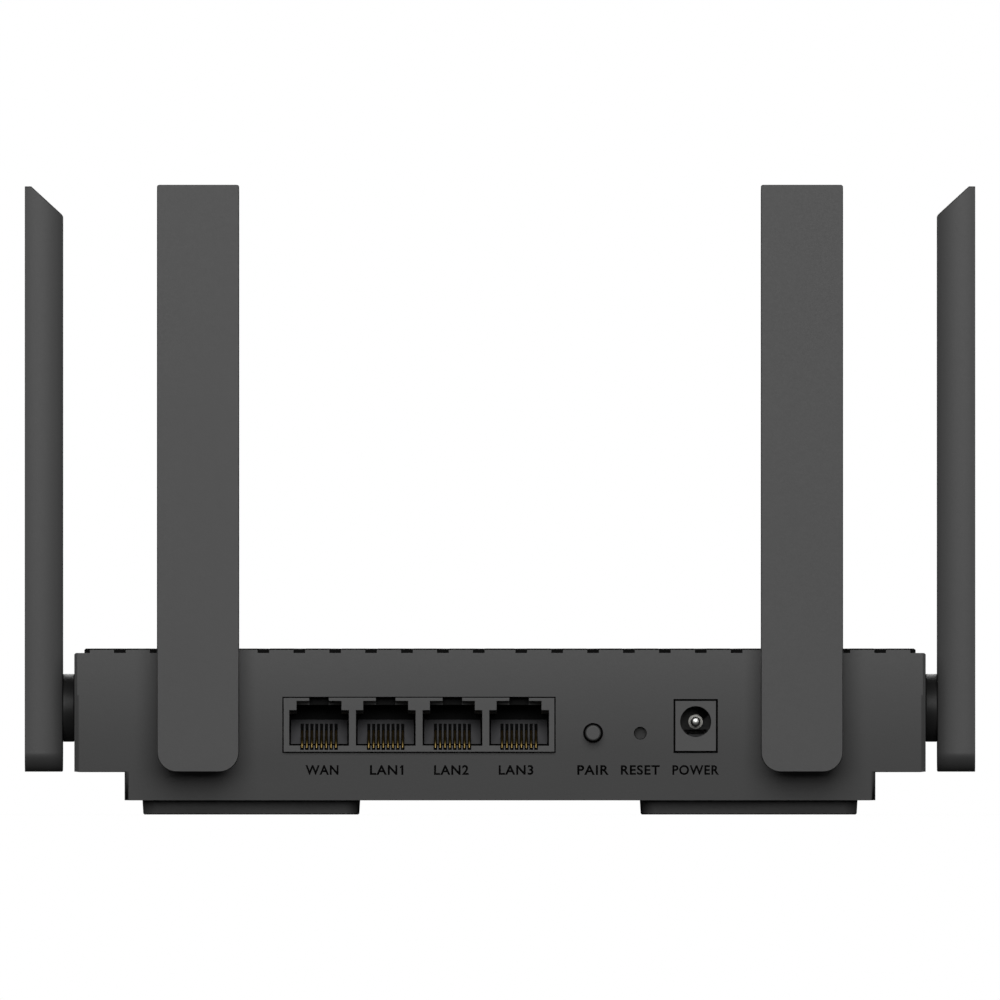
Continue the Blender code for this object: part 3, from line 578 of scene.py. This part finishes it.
def make_shells(finishes):
    abs_shell = finishes["spark_textured_abs"]
    deck_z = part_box("top_cover")[1].z
    # The cover's second finish paints its grooves near-black as shade
    cover = refined_copy("top_cover", "top_shell", [abs_shell, finishes["coarse_textured_abs"]],
                         DECK_EDGE, (2, deck_z), groove_shade_faces)
    smooth_rear_panel(cover)
    refined_copy("bottom_tray", "bottom_shell", [abs_shell], TRAY_EDGE,
                 (2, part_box("bottom_tray")[0].z))
    for end in FEET:
        refined_copy(f"foot_{end}", f"rubber_foot_{end}", [finishes["moulded_rubber"]])
    # Each housing's faces deeper in than its mouth take a dark painted shade as their second
    # finish
    for node, name, inside, depth in (
            ("port_housing", "socket_block", "black_filled_nylon", MOUTH_STEP + 0.1),
            ("power_jack_housing", "power_socket", "satin_black_nylon", 0.1)):
        refined_copy(node, name, [finishes["grey_filled_nylon"], finishes[inside]],
                     SOCKET_EDGE, (1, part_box(node)[0].y), deeper_than(node, depth))


# ---- the antennas ----

def antenna_place(antenna):
    """Millimetres about an antenna's pivot: x across it, y towards the wall, z up."""
    joint = next(j for j in frame["joints"] if j["child"] == antenna)
    axis, up = Vector(joint["axis"]), Vector((0.0, 0.0, 1.0))
    turn = Matrix((axis.cross(up), axis, up)).transposed().to_4x4()
    return Matrix.Translation(joint["pos_m"]) @ turn @ Matrix.Scale(0.001, 4)


def box_about(node, place):
    """A CAD node's lowest and highest corners in millimetres about a place."""
    inverse = place.inverted()
    points = [inverse @ v.co for v in frame["nodes"][node].data.vertices]
    return [Vector([pick(p[i] for p in points) for i in range(3)]) for pick in (min, max)]


def make_paddle_shell(antenna, place, look):
    """A hollow blade: flat outer face, narrow sides that curve in to the back, slanted top."""
    low, high = box_about(f"{antenna}_cover", place)
    thickness = high.y - low.y
    insets = {**PADDLE_EDGE, thickness - 0.07: 0.07, thickness: 0.25}
    slope_depths = [PADDLE_FLAT_TOP + (thickness - 0.25 - PADDLE_FLAT_TOP) * i / 8
                    for i in range(9)]
    rings = []
    for depth in sorted([*insets, *slope_depths]):
        inset = insets.get(depth, 0.0)
        bow = (depth - PADDLE_WIDEST) / (thickness - PADDLE_WIDEST)
        half = high.x - inset - PADDLE_TAPER * bow ** 2
        drop = PADDLE_SLANT * max(0.0, depth - PADDLE_FLAT_TOP) / (thickness - PADDLE_FLAT_TOP)
        rings.append(ring(low.y + depth, (-half, half),
                          (low.z + inset, high.z - drop - inset), PADDLE_CORNERS))
    for y in (high.y, low.y + PADDLE_WALL):
        rings.append(ring(y, (-HOLLOW_HALF, HOLLOW_HALF), HOLLOW_Z, HOLLOW_CORNERS))
    shell = skin(f"{antenna}_shell", rings, look, antenna, place)
    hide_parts(f"{antenna}_cover")
    return high.y


def make_back_plate(antenna, place, back, look):
    """The plate that closes the blade, and the turned knuckle and spigot that stand on it."""
    half = HOLLOW_HALF - SEAM
    upright = (HOLLOW_Z[0] + SEAM, HOLLOW_Z[1] - SEAM)
    corners = [radius - SEAM for radius in HOLLOW_CORNERS]
    inner, outer, soft = back - 1.25, back - 0.05, 0.15
    rings = [circle(inner, BORE_RADIUS, 10), ring(inner, (-half, half), upright, corners),
             ring(outer - soft, (-half, half), upright, corners),
             ring(outer, (soft - half, half - soft), (upright[0] + soft, upright[1] - soft),
                  [radius - soft for radius in corners]),
             circle(outer, BORE_RADIUS, 10)]
    plate = skin(f"{antenna}_back_plate", rings, look, antenna, place, closed=True)
    neck, rim, chamfer = KNUCKLE_RADIUS - 1.1, 0.2, 0.3
    clip_near, clip_far = CLIP_GROOVE
    profile = [(outer, neck), (back + 0.02, neck)]
    profile += rounded_corner(back + 0.02, KNUCKLE_RADIUS, rim, "rise")
    profile += rounded_corner(-WALL_GAP - rim, KNUCKLE_RADIUS, rim, "fall")
    profile += [(-WALL_GAP, SPIGOT_RADIUS), (clip_near, SPIGOT_RADIUS),
                (clip_near, CLIP_GROOVE_RADIUS), (clip_far, CLIP_GROOVE_RADIUS),
                (clip_far, SPIGOT_RADIUS), (SPIGOT_END - chamfer, SPIGOT_RADIUS),
                (SPIGOT_END, SPIGOT_RADIUS - chamfer), (SPIGOT_END, BORE_RADIUS),
                (outer, BORE_RADIUS)]
    knuckle = skin(f"{antenna}_knuckle", [circle(y, radius) for y, radius in profile], look,
                   antenna, place, closed=True)
    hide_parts(f"{antenna}_back")
    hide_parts(f"{antenna}_back")


def make_antennas(finishes):
    for antenna in ANTENNAS:
        place = antenna_place(antenna)
        back = make_paddle_shell(antenna, place, finishes["fine_matt_abs"])
        make_back_plate(antenna, place, back, finishes["matt_black_acetal"])


# ---- contacts, buttons and pin ----

def slotted(middle_x):
    """The walls and floors of a contact wedge's slots take the second finish, a near-black painted
    shade.
    """
    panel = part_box("port_housing")[0].y

    def mark(bm):
        for face in bm.faces:
            centre = face.calc_center_median()
            ramp = WEDGE_FOOT[1] + WEDGE_SLOPE * ((centre.y - panel) * 1000 - WEDGE_FOOT[0])
            if abs(centre.x - middle_x) < mm(SLOTS_HALF) and centre.z < mm(ramp - 0.1):
                face.material_index = 1
    return mark


def make_contact_wedges(finishes):
    # The second nylon paints the wedges' slots near-black as shade
    nylons = [finishes["dark_grey_nylon"], finishes["black_filled_nylon"]]
    for socket in SOCKETS:
        node = f"contact_insert_{socket}"
        refined_copy(node, f"contact_wedge_{socket}", nylons, region=slotted(middle(node).x))


def make_contact_wires(finishes):
    """Eight sprung gold wires in each socket. They rise from the lip and dive into slots."""
    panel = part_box("port_housing")[0].y
    for socket in SOCKETS:
        curve = bpy.data.curves.new(f"contact_wires_{socket}", "CURVE")
        curve.dimensions = "3D"
        curve.bevel_depth = mm(WIRE_RADIUS)
        curve.bevel_resolution = 3
        curve.use_fill_caps = True
        centre = middle(f"contact_insert_{socket}").x
        for i in range(CONTACTS):
            x = centre + mm(CONTACT_PITCH) * (i - (CONTACTS - 1) / 2)
            spline = curve.splines.new("POLY")
            spline.points.add(len(WIRE_ROUTE) - 1)
            for point, (y, z) in zip(spline.points, WIRE_ROUTE):
                point.co = (x, panel + mm(y), mm(z), 1.0)
        curve.materials.append(finishes["gold_plated_bronze"])
        wires = bpy.data.objects.new(curve.name, curve)
        bpy.context.collection.objects.link(wires)
        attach(wires, "router")


def turned_copy(node, name, profile, look):
    """A turned piece that stands for a CAD node. Its profile's depths start at the node's face."""
    low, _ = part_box(node)
    centre = middle(node)
    place = Matrix.Translation((centre.x, low.y, centre.z)) @ Matrix.Scale(0.001, 4)
    piece = skin(name, [circle(y, radius) for y, radius in profile], look,
                 frame["nodes"][node]["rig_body"], place)
    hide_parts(node)


def make_buttons(finishes):
    """The flat-topped pairing button with its flange, and the reset plunger behind its hole."""
    flange, stem = 2.9, 1.2
    cap = rounded_corner(-BUTTON_PROUD, BUTTON_RADIUS, 0.35, "rise")
    cap += [(4.8, BUTTON_RADIUS), (4.8, flange), (5.6, flange), (5.6, stem), (6.1, stem)]
    turned_copy("pair_button", "pair_button_cap", cap, finishes["satin_button_abs"])
    head, shaft = 1.3, 1.0
    tip = rounded_corner(RESET_DEPTH, head, 0.1, "rise")
    tip += [(2.0, head), (2.0, shaft), (5.9, shaft)]
    turned_copy("reset_plunger", "reset_button_tip", tip, finishes["matt_black_acetal"])


def make_power_pin(finishes):
    """The pin with its domed tip and its thinner tail, and the collar round its root."""
    pin = [(0.25 * radius ** 2, radius) for radius in (0.1, 0.3, 0.5, 0.7)]
    pin += [(0.22, 0.85), (0.4, 0.96), (0.7, 1.0), (7.9, 1.0)]
    pin += [(7.9, 0.6), (13.5, 0.6), (13.6, 0.5)]
    turned_copy("power_jack_pin", "power_socket_pin", pin, finishes["tin_plated_steel"])
    collar = [(7.4, 1.5), (7.42, 1.52), (7.88, 1.52), (7.9, 1.5)]
    turned_copy("power_jack_pin", "power_socket_collar", collar, finishes["nickel_plated_brass"])


def make_gap_shade_frames(finishes):
    """Thin near-black frames in the gaps round the two housings and the pairing button: painted
    shade.
    """
    look = finishes["closed_cell_foam"]
    for node, name, gap in (("port_housing", "socket_block_shade_frame", 0.45),
                            ("power_jack_housing", "power_socket_shade_frame", 0.5)):
        low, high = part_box(node)
        place = Matrix.Translation((0.0, low.y, 0.0)) @ Matrix.Scale(0.001, 4)
        near, far = SHADE_FRAME_DEPTHS
        rings = []
        for y, grown in ((near, -SHADE_FRAME_BITE), (near, gap), (far, gap), (far, -SHADE_FRAME_BITE)):
            across = (low.x * 1000 - grown, high.x * 1000 + grown)
            upright = (low.z * 1000 - grown, high.z * 1000 + grown)
            rings.append(ring(y, across, upright, (0.02, 0.02), 1))
        skin(name, rings, look, "router", place, closed=True)
    centre = middle("pair_button")
    surface = panel_surface()(centre.x + mm(3), centre.z)      # beside the button's hole
    place = Matrix.Translation((centre.x, surface.y, centre.z)) @ Matrix.Scale(0.001, 4)
    hole, rim, near, far = 1.68, 2.2, 0.45, 0.9
    rings = [circle(near, hole), circle(near, rim), circle(far, rim), circle(far, hole)]
    skin("pair_button_shade_frame", rings, look, "router", place, closed=True)


# ---- lettering ----

def panel_surface():
    """A function that gives the rear panel's outer surface point at an x and z."""
    source = frame["nodes"]["top_cover"].data
    tree = BVHTree.FromPolygons([v.co for v in source.vertices],
                                [p.vertices for p in source.polygons])
    low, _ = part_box("top_cover")

    def at(x, z):
        hit, _, _, _ = tree.ray_cast(Vector((x, low.y - 0.05, z)), Vector((0, 1, 0)))
        return hit
    return at


def letter_mesh(text):
    """A word as a flat mesh."""
    curve = bpy.data.curves.new(f"outline_{text}", "FONT")
    curve.body = text
    curve.size = 1.0
    curve.offset = STROKE_GROWTH
    curve.space_character = LETTER_SPACING
    label = bpy.data.objects.new(curve.name, curve)
    bpy.context.collection.objects.link(label)
    bpy.context.view_layer.update()
    mesh = bpy.data.meshes.new_from_object(label)
    bpy.data.objects.remove(label)
    if text.endswith("1"):
        add_flag(mesh)
    return mesh


def add_flag(mesh):
    """The slanted stroke at the top of a figure one that is drawn as a plain bar."""
    bm = bmesh.new()
    bm.from_mesh(mesh)
    right, top = max(v.co.x for v in bm.verts), max(v.co.y for v in bm.verts)
    corners = ((-0.06, 0.0), (-0.24, -0.13), (-0.24, -0.25), (-0.06, -0.13))
    bm.faces.new([bm.verts.new((right + x, top + y, 0.0)) for x, y in corners])
    bm.to_mesh(mesh)
    bm.free()


def make_lettering(finishes):
    """Plain function words below the sockets and buttons, printed on the sloping panel."""
    at = panel_surface()
    block = middle("port_housing").x
    centres = {name.upper(): block + mm(LABEL_PITCH) * (i - 1.5) for i, name in enumerate(SOCKETS)}
    centres |= {"PAIR": middle("pair_button").x, "RESET": middle("reset_plunger").x,
                "POWER": middle("power_jack_housing").x}
    for text, centre in centres.items():
        mesh = letter_mesh(text)
        xs, ys = [v.co.x for v in mesh.vertices], [v.co.y for v in mesh.vertices]
        top, foot = at(centre, mm(LABEL_TOP)), at(centre, mm(LABEL_TOP - LABEL_HEIGHT))
        up = (top - foot).normalized()
        out = Vector((1, 0, 0)).cross(up)
        for v in mesh.vertices:
            across = (v.co.x - min(xs)) / (max(xs) - min(xs)) - 0.5
            above = (v.co.y - min(ys)) / (max(ys) - min(ys))
            v.co = (foot + Vector((across * mm(LABEL_WIDTHS[text]), 0, 0))
                    + up * above * mm(LABEL_HEIGHT) + out * mm(0.015))
        mesh.materials.append(finishes["pad_printing_ink"])
        piece = bpy.data.objects.new(f"label_{text.lower()}", mesh)
        bpy.context.collection.objects.link(piece)
        ink = piece.modifiers.new("ink_film", "SOLIDIFY")
        ink.thickness = mm(0.02)
        ink.offset = -1.0
        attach(piece, "router")


CARRIED = {   # CAD nodes that stay, and their finishes
    "zinc_plated_steel": ["case_screw_1", "case_screw_2", "case_screw_3", "case_screw_4",
                          "board_screw_left", "board_screw_right",
                          *[f"{a}_clip" for a in ANTENNAS]],
    "black_filled_nylon": ["pair_switch_body", "reset_switch_body"],
    "satin_button_abs": ["pair_switch_stem"],
    "solder_mask_glass_epoxy": ["main_board", *[f"{a}_radiator" for a in ANTENNAS]],
    "chip_epoxy": ["main_processor", "memory_chip", "flash_chip", "line_transformer_wan",
                   "line_transformer_lan"],
    "ferrite_ceramic": ["power_inductor"],
    "silicone_gap_pad": ["thermal_pad"],
    "extruded_aluminium": ["heatsink", "bulk_capacitor"],
    "tin_plated_steel": ["radio_shield"],
    # The power socket's side contact takes a dark painted shade
    "blackened_spring_steel": ["power_jack_spring"],
    "frosted_acrylic": ["light_guide", "status_lamps"],
    "pvc_cable_jacket": ["coax_rear_left", "coax_rear_right", "coax_side_left",
                         "coax_side_right"],
}


def finish_carried_nodes(finishes):
    for look, nodes in CARRIED.items():
        for node in nodes:
            materials = frame["nodes"][node].data.materials
            materials.clear()
            materials.append(finishes[look])


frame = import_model()
cad_low, cad_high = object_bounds()
make_camera(cad_low, cad_high)
make_lights()
make_stage()
finishes = make_materials()
make_shells(finishes)
make_antennas(finishes)
make_contact_wedges(finishes)
make_contact_wires(finishes)
make_buttons(finishes)
make_power_pin(finishes)
make_gap_shade_frames(finishes)
make_lettering(finishes)
finish_carried_nodes(finishes)
